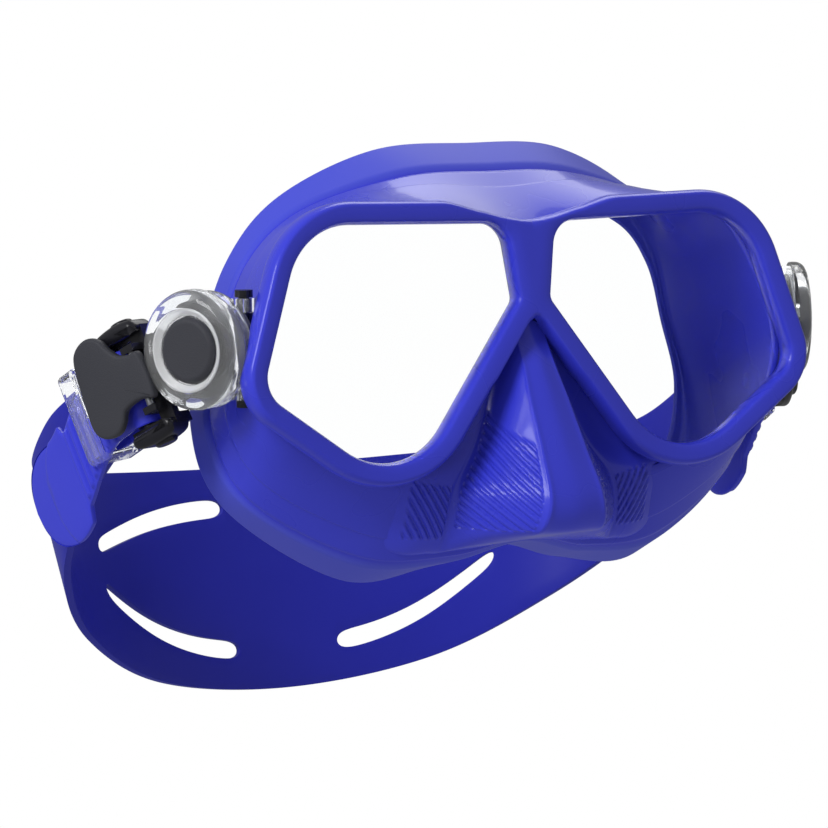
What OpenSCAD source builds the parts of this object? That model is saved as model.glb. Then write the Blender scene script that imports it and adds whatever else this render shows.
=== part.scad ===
// Twin-lens diving mask with a one-piece silicone skirt, two swivel buckles and a split head strap.
// Origin: centre of the face-seal opening. -Y is where the wearer looks, +Z is up, X is the mirror axis.

/* [Lenses and bead] */
// Height of the lens frame's reference point above the origin
lens_z = 14; // [10:0.5:18]
// Distance of the lens plane in front of the origin
lens_front = 36; // [34:0.5:38]
// Backward lean of the lens plane
lens_rake = 5.5; // [2:0.5:8]
// Thickness of the tempered glass
lens_t = 3.2; // [2.5:0.1:4]
// How far the glass runs under the bead, past the lens opening
lens_lap = 2.4; // [1.5:0.1:3]
// Width of the rounded bead round each lens opening
bead_w = 5.2; // [5:0.1:7]
// Depth of the bead from front to back
bead_t = 7; // [6:0.5:9]
// Width of the steel frame's band round each lens
frame_band = 1.6; // [1:0.1:2]
// Thickness of the steel frame
frame_t = 1.2; // [0.8:0.1:1.6]

/* [Skirt] */
// Wall thickness of the skirt
skirt_t = 2.6; // [2:0.1:3]
// Thickness of the face-seal lip
lip_t = 1.8; // [1.2:0.1:2]
// Wall thickness of the nose pocket
nose_t = 2.2; // [1.8:0.1:2.6]

/* [Swivel hub] */
// Centre of the hub: distance from the mirror plane
hub_x = 78.5; // [78:0.5:81]
// Centre of the hub: distance in front of the origin
hub_front = 25; // [24:0.5:26]
// Centre of the hub: height above the origin
hub_z = 5.8; // [5:0.2:7]
// Angle by which the hub's face turns forward from sideways
hub_yaw = 27; // [24:1:30]
// Radius of the clear hub cap
hub_r = 13.4; // [13:0.1:13.6]
// Radius of the central button
button_r = 7.5; // [7:0.1:7.8]
// Radius of the fold hinge pin
pin_r = 1.2; // [1:0.1:1.3]
// Running gap between turning parts
play = 0.06; // [0.03:0.01:0.09]

/* [Buckle] */
// Rest angle of the buckle below level
buckle_drop = 26; // [20:1:34]
// Inward crank of the strap behind the roller
crank = 15; // [8:1:20]
// Distance from the hub centre to the roller's axis
roller_u = 23; // [22:0.5:24]
// Radius of the strap roller
roller_r = 2.4; // [2:0.1:2.6]
// Radius of the roller's steel axle
axle_r = 1.0; // [0.8:0.1:1.2]
// Half width of the buckle to the outside of its arms
arm_out = 11.9; // [11.8:0.1:12.4]

/* [Strap] */
// Width of the strap where it threads the buckle
strap_w = 18; // [16:0.5:18]
// Thickness of the strap
strap_t = 1.8; // [1.6:0.1:2]
// Half height of the rear pad
pad_h = 29; // [26:0.5:32]
// Width of the pad's slots
slot_w = 5; // [4:0.2:6]

/* [Hidden] */

$fn = 48;
blue = "#3f45b5";
black = "#1c1c22";
charcoal = "#3d3f46";
clear = [0.93, 0.95, 0.97, 0.45];
steel = "#b9bcc2";

// ---- outlines and curves ---------------------------------------------------------------------

// Corners of one lens opening in the lens plane: across, up, corner radius.
lens_corners = [[6.7, 17.6, 6], [57.2, 18.8, 16], [69, -17.3, 7], [35.2, -41.8, 18], [4.4, 0.3, 2.5]];

function unit(v) = v / norm(v);

// One corner's arc: the fillet circle that touches both edges, grown outwards by g.
function corner_arc(a, p, b, r, g, n) =
    let (d1 = unit(a - p), d2 = unit(b - p), half = acos(d1 * d2) / 2,
         mid = unit(d1 + d2), centre = p + mid * (r / sin(half)),
         from = p + d1 * (r / tan(half)) - centre, to = p + d2 * (r / tan(half)) - centre,
         a0 = atan2(from.y, from.x), turn = (atan2(to.y, to.x) - a0 + 540) % 360 - 180)
    [for (k = [0:n]) centre + (r + g) * [cos(a0 + turn * k / n), sin(a0 + turn * k / n)]];

function lens_outline(g, n = 7) =
    let (c = lens_corners, m = len(c))
    [for (i = [0:m - 1])
        let (a = c[(i + m - 1) % m], p = c[i], b = c[(i + 1) % m])
        each corner_arc([a.x, a.y], [p.x, p.y], [b.x, b.y], p.z, g, n)];

// Catmull-Rom curve through points p at parameter t, counted in points from the first.
function along(p, t) =
    let (m = len(p) - 1, i = min(floor(t), m - 1), f = t - i,
         a = p[max(i - 1, 0)], b = p[i], c = p[i + 1], d = p[min(i + 2, m)])
    0.5 * (2 * b + (c - a) * f + (2 * a - 5 * b + 4 * c - d) * f * f + (3 * b - a - 3 * c + d) * f * f * f);

function mirrored(p) = [-p.x, p.y, p.z];

// A closed ring from a half ring that runs from the top centre to the bottom centre.
ring_steps = 4;
function ring(half) =
    let (m = (len(half) - 1) * ring_steps, full = concat([mirrored(half[1])], half, [mirrored(half[len(half) - 2])]),
         side = [for (k = [0:m]) along(full, 1 + k / ring_steps)])
    concat(side, [for (k = [m - 1:-1:1]) mirrored(side[k])]);

// Faces of a closed tube whose cross-section is a closed loop of n points, carried round m stations.
function torus_faces(m, n) =
    [for (i = [0:m - 1], j = [0:n - 1])
        let (i2 = (i + 1) % m, j2 = (j + 1) % n) [i * n + j, i * n + j2, i2 * n + j2, i2 * n + j]];

// ---- skirt -----------------------------------------------------------------------------------

// Half rings of the skirt from the top centre to the bottom centre: the wall behind the bead,
// the crease where the flange starts, the flange's rim and the free edge of the face seal.
front_ring = [[0, -32, 36], [20, -31.6, 37], [44, -31.6, 37], [58, -32.5, 30.5], [66.5, -34, 15],
    [69, -35, -1], [62, -36, -15], [38, -36.5, -25], [20, -37, -31], [0, -50, -37]];
crease_ring = [[0, -16, 43.5], [22, -15, 42.5], [46, -11, 35], [59, -9, 23], [65, -8, 6],
    [69.5, -11, -13], [64, -19, -30], [40, -26, -44], [18, -30, -45], [0, -34, -41]];
rim_ring = [[0, -6, 49.5], [24, -5, 48.3], [46, -1, 38.2], [58, 1, 24.4], [64, 2.5, 6],
    [68.5, 1, -14], [63.5, -6, -33], [39, -15, -50], [17.4, -16, -48.5], [0, -18, -44]];
seal_ring = [[0, 0, 36.5], [24, 2, 36], [46, 4, 29], [56, 5.5, 18.5], [60.5, 6, 4],
    [63, 4, -12], [57, 1, -28], [35, -7, -38.5], [16, -11, -38], [0, -13, -33]];

// The same ring moved towards the mask's own axis and forwards.
function inset(r, inwards, forwards) =
    [for (p = r) let (d = unit([p.x, 0, p.z + 2])) p - inwards * d - [0, forwards, 0]];

module shell() {
    loops = [ring(front_ring), ring(crease_ring), ring(rim_ring),
        [for (k = [0:len(ring(rim_ring)) - 1]) (ring(rim_ring)[k] + ring(seal_ring)[k]) / 2 + [0, 3, 0]],
        ring(seal_ring), inset(ring(seal_ring), 0, lip_t),
        inset([for (k = [0:len(ring(rim_ring)) - 1]) (ring(rim_ring)[k] + ring(seal_ring)[k]) / 2 + [0, 3, 0]],
            0, lip_t),
        inset(ring(rim_ring), skirt_t, 0.6), inset(ring(crease_ring), skirt_t, 0),
        inset(ring(front_ring), skirt_t, 0)];
    m = len(loops[0]);
    n = len(loops);
    polyhedron([for (i = [0:m - 1], j = [0:n - 1]) loops[j][i]], torus_faces(m, n), 6);
}

// The plane of both lenses, drawn on with across as x and up as y; thickness grows forwards.
module on_lens_plane() {
    translate([0, -lens_front, lens_z]) rotate([90 - lens_rake, 0, 0]) children();
}

module both_sides() {
    children();
    mirror([1, 0, 0]) children();
}

module lens_plate(g, t, back) {
    translate([0, 0, back]) linear_extrude(t) polygon(lens_outline(g));
}

module bead_plate() {
    on_lens_plane() {
        both_sides() lens_plate(bead_w, bead_t, -bead_t / 2);
        translate([0, 0, -bead_t / 2]) linear_extrude(bead_t)
            polygon([[-16, 23.5], [-8, 22.4], [8, 22.4], [16, 23.5], [12, 4], [20, -20], [-20, -20], [-12, 4]]);
    }
}

// Levels of the nose pocket: height, front half width, front, back half width, back and which way
// the inside moves in height.
nose_levels = [[lens_z + 1, 4.2, -35.5, 9, -33, -1], [-28.8, 7, -56.8, 25, -30, 0],
    [-35.5, 8, -55.2, 29, -28.6, 1], [-38, 9, -51, 31, -28, 1]];

// The nose pocket: a wedge that widens downwards and forwards, smaller by g on every side.
module nose_wedge(g) {
    hull() {
        for (l = nose_levels) {
            z = l[0] + g * l[5];
            for (s = [-1, 1]) {
                translate([s * (l[1] - g * 0.8), l[2] + g, z]) cube(0.02, center = true);
                translate([s * (l[3] - g), l[4] + g, z]) cube(0.02, center = true);
            }
        }
    }
}

module skirt() {
    color(blue) difference() {
        union() {
            shell();
            bead_plate();
            nose_wedge(0);
            both_sides() on_hub(0) hinge_lug();
        }
        nose_wedge(nose_t);
        on_lens_plane() {
            both_sides() {
                lens_plate(0, 30, -15);
                lens_plate(lens_lap, lens_t, -lens_t / 2);
            }
        }
        frame_solid();
        both_sides() on_hub(0) hinge_clearance();
    }
}

// ---- lenses and steel frame ------------------------------------------------------------------

module frame_solid() {
    on_lens_plane() translate([0, 0, -lens_t / 2 - frame_t])
        difference() {
            linear_extrude(frame_t) union() {
                polygon(lens_outline(lens_lap + frame_band - 1));
                mirror([1, 0]) polygon(lens_outline(lens_lap + frame_band - 1));
                translate([-9, 4]) square([18, 12]);
            }
            both_sides() lens_plate(lens_lap - 1.6, 3 * frame_t, -frame_t);
        }
}

module inner_frame() {
    color(steel) difference() {
        frame_solid();
        both_sides() on_hub(0) translate([0, 0, lug_top]) cylinder(h = 14, r = hub_r + 1.2);
    }
}

module lens() {
    color([0.9, 0.96, 0.98, 0.35]) on_lens_plane() lens_plate(lens_lap, lens_t, -lens_t / 2);
}

module left_lens() {
    lens();
}

module right_lens() {
    mirror([1, 0, 0]) lens();
}

// ---- hub -------------------------------------------------------------------------------------

// The left hub's own frame: x runs back along the strap, y down and z out of the hub's face.
module on_hub(drop) {
    translate([hub_x, -hub_front, hub_z])
        mirror([1, 0, 0])
        multmatrix([[-sin(hub_yaw), 0, -cos(hub_yaw), 0], [cos(hub_yaw), 0, -sin(hub_yaw), 0], [0, -1, 0, 0]])
        rotate([0, 0, drop]) children();
}

pin_x = -8;
pin_z = -7.1;
pin_len = 24;
base_z = -4.8;
base_t = 1.8;
cap_z = -0.6;
cap_t = 4;
table_t = 2;
knuckle_r = 2.3;
knuckle_len = 3;
knuckle_y = 8.2;
lug_half = knuckle_y - 0.3;

module along_pin(y0, y1, r) {
    translate([pin_x, y0, pin_z]) rotate([-90, 0, 0]) cylinder(h = y1 - y0, r = r);
}

barrel_r = 1.9;
lug_top = base_z - 0.7;

// Boss moulded on the skirt's side that holds the hinge barrel, with a recess for each knuckle.
module hinge_lug() {
    translate([pin_x - 3.4, -pin_len / 2 - 1.5, pin_z - 5]) cube([7.4, pin_len + 3, lug_top - pin_z + 5]);
}

module hinge_clearance() {
    along_pin(-pin_len / 2 - 2, -lug_half, knuckle_r + 0.5);
    along_pin(lug_half, pin_len / 2 + 2, knuckle_r + 0.5);
    along_pin(-lug_half, lug_half, barrel_r);
    for (y = [lug_half, -pin_len / 2 - 2])
        translate([pin_x - knuckle_r - 0.7, y, pin_z]) cube([2 * knuckle_r + 1.4, pin_len / 2 + 2 - lug_half, 10]);
    translate([0, 0, lug_top]) cylinder(h = 14, r = hub_r + 0.7);
}

module hinge_barrel() {
    color(black) on_hub(0) difference() {
        along_pin(-lug_half, lug_half, barrel_r);
        along_pin(-lug_half - 1, lug_half + 1, pin_r);
    }
}

module hinge_pin() {
    color(black) on_hub(0) {
        along_pin(-pin_len / 2, pin_len / 2, pin_r);
        along_pin(-pin_len / 2 - 1, -knuckle_y - knuckle_len - 0.2, 2);
        along_pin(knuckle_y + knuckle_len + 0.2, pin_len / 2 + 1, 2);
    }
}

module hub_base() {
    color(clear) on_hub(0) difference() {
        union() {
            translate([0, 0, base_z]) cylinder(h = base_t, r = hub_r - 0.6);
            for (s = [-1, 1]) {
                y0 = s > 0 ? knuckle_y : -knuckle_y - knuckle_len;
                along_pin(y0, y0 + knuckle_len, knuckle_r);
                translate([pin_x - knuckle_r, y0, pin_z]) cube([knuckle_r * 2, knuckle_len, base_z - pin_z + 1]);
            }
        }
        along_pin(-pin_len, pin_len, pin_r + play);
        translate([0, 0, base_z - 1]) cylinder(h = base_t + 2, r = screw_r);
    }
}

screw_r = 2.4;
boss_r = 4;

// Clear cap: a ring with a well for the button, a soft outer shoulder and a wall down its front side.
module hub_cap() {
    color(clear) on_hub(0) {
        translate([0, 0, cap_z]) rotate_extrude()
            polygon([[screw_r, 0], [hub_r, 0], [hub_r, cap_t - 2.2], [hub_r - 0.7, cap_t - 0.9],
                [hub_r - 2, cap_t - 0.2], [button_r + 2.4, cap_t], [button_r + 1.2, cap_t - 0.5],
                [button_r + 0.2, cap_t - 0.5], [button_r + 0.2, cap_t - 2.4], [screw_r, cap_t - 2.4]]);
        difference() {
            translate([0, 0, base_z + base_t]) cylinder(h = cap_z - base_z - base_t, r = hub_r);
            translate([0, 0, base_z]) cylinder(h = cap_z - base_z + 1, r = hub_r - 1.4);
            translate([-4, -20, base_z]) cube([30, 40, 10]);
        }
    }
}

module pivot_screw() {
    color(steel) on_hub(0) {
        translate([0, 0, base_z]) cylinder(h = cap_z + cap_t - 2.4 - base_z, r = screw_r);
        translate([0, 0, base_z + base_t]) cylinder(h = cap_z - base_z - base_t, r = boss_r);
    }
}

module hub_button() {
    color(charcoal) on_hub(0) translate([0, 0, cap_z + cap_t - 2.4]) {
        rotate_extrude() polygon([[0, 0], [button_r, 0], [button_r, 1.8], [button_r - 0.9, 2.5], [0, 2.2]]);
    }
}

// ---- buckle ----------------------------------------------------------------------------------

table_z = base_z + base_t + 0.1;
table_r = 10.4;
axle_z = -3.6;
arm_t = 2.4;
arm_h = 5.4;
lever_u = 16;
lever_z = 1.6;
lever_pin_r = 0.9;
lever_half = 6.2;

// Turntable, neck and the two arms that carry the roller's axle.
module buckle_frame() {
    color(black) on_hub(buckle_drop) difference() {
        union() {
            translate([0, 0, table_z]) cylinder(h = table_t, r = table_r);
            translate([0, -8, table_z]) cube([lever_u + 0.5, 16, table_t]);
            translate([arm_u0, -arm_out, table_z]) cube([4, 2 * arm_out, table_t]);
            for (s = [0, 1]) mirror([0, s, 0]) {
                translate([arm_u0, arm_out - arm_t, axle_z - arm_h / 2]) cube([roller_u - arm_u0 + 3, arm_t, arm_h]);
                translate([lever_u - 2, lever_half + 0.2, table_z + 0.5]) cube([3.6, 1.6, lever_z - table_z + 1]);
            }
        }
        translate([0, 0, table_z - 1]) cylinder(h = table_t + 2, r = boss_r + play);
        across(roller_u, axle_z, arm_out + 1, axle_r);
        across(lever_u, lever_z, arm_out, lever_pin_r);
        for (s = [0, 1]) mirror([0, s, 0]) translate([tab_u, arm_out - 1.4, axle_z]) rotate([-90, 0, 0])
            cylinder(h = 3, r = tab_spring_r + 0.2);
    }
}

arm_u0 = lever_u - 3.2;
tab_u = lever_u + 0.4;
tab_spring_r = 1.3;

// A cylinder across the buckle at distance u and height z, reaching half to each side.
module across(u, z, half, r) {
    translate([u, half, z]) rotate([90, 0, 0]) cylinder(h = 2 * half, r = r);
}

module roller_axle() {
    color(steel) on_hub(buckle_drop) across(roller_u, axle_z, arm_out, axle_r);
}

module roller() {
    color(black) on_hub(buckle_drop) difference() {
        across(roller_u, axle_z, strap_w / 2, roller_r);
        across(roller_u, axle_z, strap_w, axle_r + play);
    }
}

// Hammerhead release lever: a neck on the pivot pin and a wide head over the strap.
head_u0 = 19;
head_u1 = 32;
module lever() {
    color(charcoal) on_hub(buckle_drop) difference() {
        union() {
            across(lever_u, lever_z, lever_half, 1.9);
            translate([lever_u, -lever_half, lever_z + 0.1]) cube([head_u0 - lever_u + 3, 2 * lever_half, 1.8]);
            translate([0, 0, lever_z + 0.1]) linear_extrude(2.2) hull() {
                for (s = [-1, 1]) {
                    translate([head_u0 + 4.5, s * 6.6]) circle(4.4);
                    translate([head_u1 - 4.4, s * 7.4]) circle(4);
                }
            }
        }
        across(lever_u, lever_z, arm_out, lever_pin_r + play);
        across(lever_u, lever_z, 2.6, 2.4);
    }
}

module lever_pin() {
    color(steel) on_hub(buckle_drop) across(lever_u, lever_z, lever_half + 1.7, lever_pin_r);
}

module lever_spring() {
    color(steel) on_hub(buckle_drop) difference() {
        across(lever_u, lever_z, 2.2, 1.6);
        across(lever_u, lever_z, 3, lever_pin_r + 0.15);
    }
}

// Squeeze tabs over the buckle's arms, each with a thumb pad on its outer side.
tab_travel = 1;
tab_len = 11;
tab_r = 2.2;
tab_side = arm_out + tab_travel + 0.3;
module tab_shape() {
    top = table_z + table_t + 0.1;
    translate([tab_u - tab_len / 2 + 2.4, 0, 0]) {
        intersection() {
            translate([0, tab_side - 0.6, top]) rotate([0, 90, 0]) cylinder(h = tab_len, r = tab_r);
            translate([0, 0, top]) cube([tab_len, 2 * tab_side, 2 * tab_r]);
        }
        translate([0, tab_side, axle_z - arm_h / 2]) cube([tab_len, 1.3, top - axle_z + arm_h / 2]);
        translate([tab_len / 2, tab_side + 1, axle_z + 1]) rotate([-90, 0, 0]) cylinder(h = 1, r = 2.6);
    }
}

module lower_tab() {
    color(black) on_hub(buckle_drop) tab_shape();
}

module upper_tab() {
    color(black) on_hub(buckle_drop) mirror([0, 1, 0]) tab_shape();
}

module tab_springs() {
    color(steel) on_hub(buckle_drop) for (s = [0, 1]) mirror([0, s, 0])
        translate([tab_u, arm_out - 1.3, axle_z]) rotate([-90, 0, 0]) difference() {
            cylinder(h = 1.5, r = tab_spring_r);
            translate([0, 0, -1]) cylinder(h = 4, r = tab_spring_r - 0.5);
        }
}

// ---- strap -----------------------------------------------------------------------------------

// The frame of the cranked strap behind the roller: x back along the strap, z out.
module on_strap() {
    on_hub(buckle_drop) translate([roller_u, 0, axle_z]) rotate([0, crank, 0]) children();
}

// A point of the strap's mid plane in the mask's own frame, left side: u back along the strap, z out.
function strap_point(u, z) =
    let (x = roller_u + u * cos(crank) + z * sin(crank), w = axle_z - u * sin(crank) + z * cos(crank),
         back = [sin(hub_yaw), cos(hub_yaw), 0], out = [cos(hub_yaw), -sin(hub_yaw), 0])
    [hub_x, -hub_front, hub_z] + x * (cos(buckle_drop) * back - [0, 0, sin(buckle_drop)]) + w * out;

wrap_r = roller_r + 0.3;
keeper_u = 12;
keeper_len = 6;
keeper_t = 1.3;
tail_len = 18;
tail_bend = 34;
band_end = 20;

// Loop round the roller, the free tail outside and the start of the band inside.
module strap_end() {
    color(blue) {
        on_strap() {
            difference() {
                translate([0, strap_w / 2, 0]) rotate([90, 0, 0]) cylinder(h = strap_w, r = wrap_r + strap_t);
                translate([0, strap_w, 0]) rotate([90, 0, 0]) cylinder(h = 2 * strap_w, r = wrap_r);
                translate([0, -strap_w, -10]) cube([20, 2 * strap_w, 20]);
            }
            translate([-0.01, -strap_w / 2, -wrap_r - strap_t]) cube([band_end, strap_w, strap_t]);
            translate([-0.01, -strap_w / 2, wrap_r]) cube([band_end, strap_w, strap_t]);
            translate([band_end - 1, 0, wrap_r]) linear_extrude(strap_t) hull() {
                square([1, strap_w], center = true);
                for (s = [-1, 1]) rotate(tail_bend) translate([tail_len, s * (strap_w / 2 - 3)]) circle(4);
            }
        }
    }
}

module keeper() {
    half_y = strap_w / 2 + 0.5;
    half_z = wrap_r + strap_t + 0.3;
    color(clear) on_strap() difference() {
        translate([keeper_u, -half_y - keeper_t - 0.6, -half_z - keeper_t])
            cube([keeper_len, 2 * (half_y + keeper_t + 0.6), 2 * (half_z + keeper_t)]);
        translate([keeper_u - 1, -half_y, -half_z]) cube([keeper_len + 2, 2 * half_y, 2 * half_z]);
    }
}

// Centre line of the band from the left buckle to the middle of the rear pad, and one point beyond.
band_path = [strap_point(band_end + 0.8, -wrap_r - strap_t / 2), [86.5, 30, -24], [82, 52, -40], [67, 75, -52.5],
    [40, 91, -62], [0, 97, -65.5], [-40, 91, -62]];
// Across direction of the band at the same points, pointing up.
band_up = [[sin(buckle_drop) * sin(hub_yaw), sin(buckle_drop) * cos(hub_yaw), cos(buckle_drop)],
    [0.16, 0.4, 0.9], [0.14, 0.3, 0.94], [0.1, 0.25, 0.96], [0.05, 0.22, 0.97], [0, 0.2, 0.98],
    [-0.05, 0.22, 0.97]];
// Half width of the band at the same points.
band_half = [strap_w / 2, 11.5, 14.5, 21, pad_h - 2, pad_h, pad_h - 2];
band_spans = len(band_path) - 2;

band_cols = 50;
slot_from = 0.69;
slot_to = 0.93;

// Slot edges across the band as shares of its half width, at share f of the way to the middle.
function slot_mid(f) = 0.22 + 0.42 * sin(90 * (f - slot_from) / (slot_to - slot_from));
function slot_open(f) = f > slot_from && f < slot_to;
function slot_gap(f) =
    let (k = 2 * (f - slot_from) / (slot_to - slot_from) - 1)
    max(0.35, sqrt(max(0, 1 - pow(k, 6)))) * slot_w / 2 / pad_h;

function band_rows(f) =
    let (m = slot_mid(min(max(f, slot_from), slot_to)), g = slot_gap(f))
    [-1, -m - g, -m + g, 0, m - g, m + g, 1];

function band_point(f, v, side) =
    let (t = f * band_spans, p = along(band_path, t), q = along(band_path, t + 0.01),
         q0 = along(band_path, max(t - 0.01, 0)), up = unit(along(band_up, t)), out = unit(cross(q - q0, up)),
         c = p + up * (v * along(band_half, t)) + out * (side * strap_t / 2))
    c;

module half_band() {
    rows = 7;
    pts = [for (i = [0:band_cols], side = [-1, 1], j = [0:rows - 1])
        let (f = i / band_cols) band_point(f, band_rows(f)[j], side)];
    function id(i, side, j) = i * 2 * rows + side * rows + j;
    function solid_at(i, j) =
        i >= 0 && i < band_cols && j >= 0 && j < rows - 1
        && !((j == 1 || j == 4) && slot_open((i + 0.5) / band_cols));
    faces = [for (i = [0:band_cols - 1], j = [0:rows - 2]) if (solid_at(i, j)) each concat(
        [[id(i, 1, j), id(i, 1, j + 1), id(i + 1, 1, j + 1), id(i + 1, 1, j)],
         [id(i, 0, j), id(i + 1, 0, j), id(i + 1, 0, j + 1), id(i, 0, j + 1)]],
        solid_at(i - 1, j) ? [] : [[id(i, 0, j), id(i, 0, j + 1), id(i, 1, j + 1), id(i, 1, j)]],
        solid_at(i + 1, j) ? [] : [[id(i + 1, 0, j), id(i + 1, 1, j), id(i + 1, 1, j + 1), id(i + 1, 0, j + 1)]],
        solid_at(i, j - 1) ? [] : [[id(i, 0, j), id(i, 1, j), id(i + 1, 1, j), id(i + 1, 0, j)]],
        solid_at(i, j + 1) ? [] : [[id(i, 0, j + 1), id(i + 1, 0, j + 1), id(i + 1, 1, j + 1), id(i, 1, j + 1)]])];
    polyhedron(pts, faces, 4);
}

module strap() {
    color(blue) both_sides() half_band();
}

// ---- nodes -----------------------------------------------------------------------------------

module right() {
    mirror([1, 0, 0]) children();
}

skirt();
inner_frame();
right_lens();
left_lens();
right() hinge_barrel();  // right_hinge_barrel
hinge_barrel();  // left_hinge_barrel
right() hinge_pin();  // right_hinge_pin
hinge_pin();  // left_hinge_pin
right() hub_base();  // right_hub_base
hub_base();  // left_hub_base
right() hub_cap();  // right_hub_cap
hub_cap();  // left_hub_cap
right() pivot_screw();  // right_pivot_screw
pivot_screw();  // left_pivot_screw
right() hub_button();  // right_hub_button
hub_button();  // left_hub_button
right() buckle_frame();  // right_buckle_frame
buckle_frame();  // left_buckle_frame
right() roller_axle();  // right_roller_axle
roller_axle();  // left_roller_axle
right() roller();  // right_roller
roller();  // left_roller
right() lever();  // right_lever
lever();  // left_lever
right() lever_pin();  // right_lever_pin
lever_pin();  // left_lever_pin
right() lever_spring();  // right_lever_spring
lever_spring();  // left_lever_spring
right() upper_tab();  // right_upper_tab
upper_tab();  // left_upper_tab
right() lower_tab();  // right_lower_tab
lower_tab();  // left_lower_tab
right() tab_springs();  // right_tab_springs
tab_springs();  // left_tab_springs
right() keeper();  // right_keeper
keeper();  // left_keeper
right() strap_end();  // right_strap_end
strap_end();  // left_strap_end
strap();
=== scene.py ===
# %% [markdown]
# A twin-lens diving mask. The moving parts come from the CAD frame; this script gives every part a skin
# like the real one: rounded silicone, clear moulded plastic, black nylon, glass and steel, with painted
# shade in the head strap's deeper blue and a painted highlight in the milky hub collars.

# %% Frame and imports
from math import radians

import bmesh
import bpy
import numpy as np
from mathutils import Matrix, Vector


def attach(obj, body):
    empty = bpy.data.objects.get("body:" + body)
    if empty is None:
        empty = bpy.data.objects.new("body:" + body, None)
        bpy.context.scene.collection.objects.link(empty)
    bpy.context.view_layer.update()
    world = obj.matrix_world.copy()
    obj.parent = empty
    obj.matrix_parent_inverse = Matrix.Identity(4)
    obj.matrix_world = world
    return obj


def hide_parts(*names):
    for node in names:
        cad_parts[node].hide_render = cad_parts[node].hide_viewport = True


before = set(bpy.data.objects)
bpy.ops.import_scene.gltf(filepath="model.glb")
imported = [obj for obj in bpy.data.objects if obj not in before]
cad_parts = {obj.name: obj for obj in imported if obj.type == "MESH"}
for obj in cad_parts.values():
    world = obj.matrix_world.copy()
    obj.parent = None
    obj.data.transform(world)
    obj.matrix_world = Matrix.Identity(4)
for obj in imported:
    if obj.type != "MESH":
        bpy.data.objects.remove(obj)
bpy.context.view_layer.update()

MM = 0.001

# %% [markdown]
# Small tools come first. Every surface is a grid of points worked out at once with numpy, in
# millimetres, and turned into one mesh. Seams are welded and normals turned outwards afterwards.

# %% Mesh helpers
def tidy_mesh(mesh, crease):
    """Weld points closer than 1 micron, drop faces with no area, turn normals outwards, smooth."""
    bm = bmesh.new()
    bm.from_mesh(mesh)
    bmesh.ops.remove_doubles(bm, verts=bm.verts, dist=1e-6)
    bmesh.ops.dissolve_degenerate(bm, dist=1e-6, edges=bm.edges)
    bmesh.ops.recalc_face_normals(bm, faces=bm.faces)
    bm.to_mesh(mesh)
    bm.free()
    mesh.shade_smooth()
    mesh.set_sharp_from_angle(angle=radians(crease))


def add_piece(name, points, faces, material, body, nodes=(), crease=40, satin=None):
    """One object from points in millimetres and faces, riding on a CAD body."""
    mesh = bpy.data.meshes.new(name)
    mesh.from_pydata((np.asarray(points, float) * MM).tolist(), [], [list(f) for f in faces])
    if satin is not None:
        mesh.attributes.new("satin", "FLOAT", "POINT").data.foreach_set("value", satin)
    tidy_mesh(mesh, crease)
    mesh.materials.append(material)
    piece = bpy.data.objects.new(name, mesh)
    bpy.context.scene.collection.objects.link(piece)
    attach(piece, body)
    if nodes:
        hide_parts(*nodes)
    return piece


def grid_faces(rows, cols, closed_rows=False, closed_cols=False, keep=None):
    """Quads of a rows by cols grid: (i, j), (i+1, j), (i+1, j+1), (i, j+1), wrapping where closed."""
    i, j = np.meshgrid(np.arange(rows - (not closed_rows)), np.arange(cols - (not closed_cols)),
                       indexing="ij")
    if keep is not None:
        i, j = i[keep], j[keep]
    i2, j2 = (i + 1) % rows, (j + 1) % cols
    return np.stack([i * cols + j, i2 * cols + j, i2 * cols + j2, i * cols + j2], -1).reshape(-1, 4)


def spline(points, t):
    """Catmull-Rom curve through points at parameters t: b + (c-a)f/2 + (2a-5b+4c-d)f^2/2 + ..."""
    p = np.asarray(points, float)
    p = np.concatenate([2 * p[:1] - p[1:2], p, 2 * p[-1:] - p[-2:-1]])
    t = np.asarray(t, float)
    i = np.clip(np.floor(t).astype(int), 0, len(p) - 4)
    f = (t - i).reshape(t.shape + (1,) * (p.ndim - 1))
    a, b, c, d = p[i], p[i + 1], p[i + 2], p[i + 3]
    return 0.5 * (2 * b + (c - a) * f + (2 * a - 5 * b + 4 * c - d) * f**2
                  + (3 * b - a - 3 * c + d) * f**3)


def soften(rows, cuts, steps=5, closed=False):
    """Round each corner row p: the curve (1-t)^2 a + 2t(1-t) p + t^2 b between points a and b that lie
    'cut' millimetres from p towards its neighbours, at most 0.45 of the way."""
    rows = np.asarray(rows, float)
    before, after = np.roll(rows, 1, 0), np.roll(rows, -1, 0)
    out = []
    t = np.linspace(0, 1, steps).reshape((-1,) + (1,) * (rows.ndim - 1))
    for k, cut in enumerate(cuts):
        if cut == 0 or (not closed and k in (0, len(rows) - 1)):
            out.append(rows[k:k + 1])
            continue
        reach = [cut / np.maximum(np.linalg.norm(n[k] - rows[k], axis=-1, keepdims=True), 1e-9)
                 for n in (before, after)]
        a = rows[k] + (before[k] - rows[k]) * np.minimum(reach[0], 0.45)
        b = rows[k] + (after[k] - rows[k]) * np.minimum(reach[1], 0.45)
        out.append((1 - t)**2 * a + 2 * t * (1 - t) * rows[k] + t**2 * b)
    return np.concatenate(out)


def step(x, a, b):
    """0 below a, 1 above b and s*s*(3-2s) between."""
    s = np.clip((x - a) / (b - a), 0, 1)
    return s * s * (3 - 2 * s)


# %% [markdown]
# Materials are node set-ups named for the real stuff. Colours are given as sRGB and made linear.

# %% Material helpers
def linear(hexa):
    """sRGB hex to linear: c/12.92 below 0.04045, else ((c+0.055)/1.055)^2.4."""
    c = np.array([int(hexa[k:k + 2], 16) for k in (1, 3, 5)]) / 255
    return tuple(np.where(c <= 0.04045, c / 12.92, ((c + 0.055) / 1.055)**2.4)) + (1.0,)


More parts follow.
